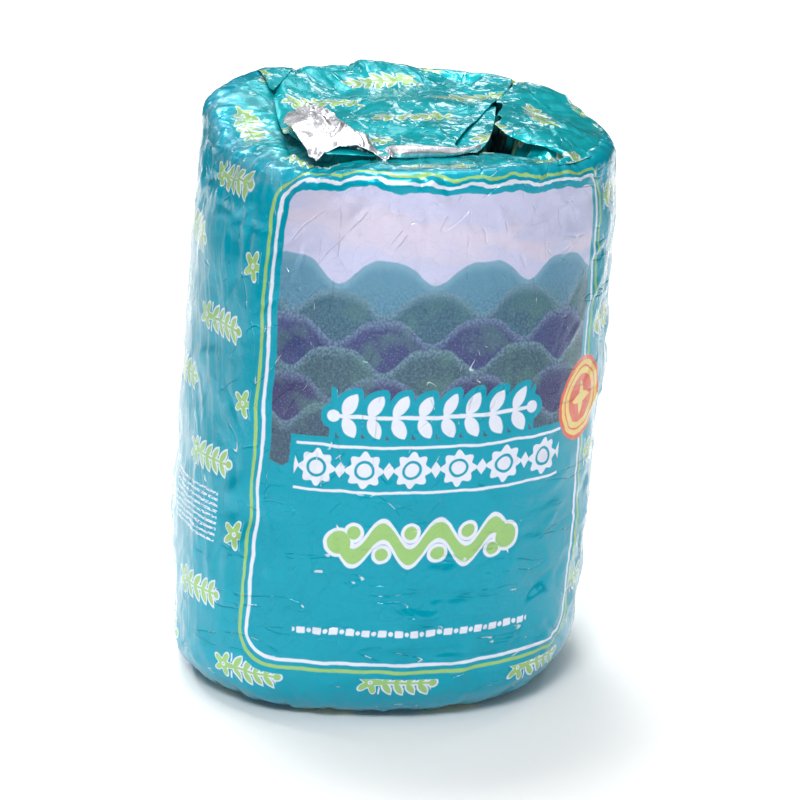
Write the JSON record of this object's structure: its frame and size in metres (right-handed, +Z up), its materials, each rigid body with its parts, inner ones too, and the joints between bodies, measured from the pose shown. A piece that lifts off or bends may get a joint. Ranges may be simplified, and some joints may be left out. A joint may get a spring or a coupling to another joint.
{
  "type": "foil-wrapped blue cheese",
  "caption": "Whole tall round blue cheese, wrapped in printed foil folded down over its top, with a front label field and a turned-back silver edge.",
  "frame": {"origin": "centre of the flat base", "axes": "+Z up the cheese, -Y out of the middle of the label, +X to the right as the label is read"},
  "size_m": [0.1433, 0.1368, 0.1891],
  "materials": {
    "foil_print": "teal lacquer-printed aluminium foil, glossy and finely creased",
    "foil_inside": "bare crumpled foil, bright"
  },
  "bodies": {
    "root": {"wrapped_cheese": "foil_print", "silver_edge": "foil_inside"}
  },
  "joints": []
}
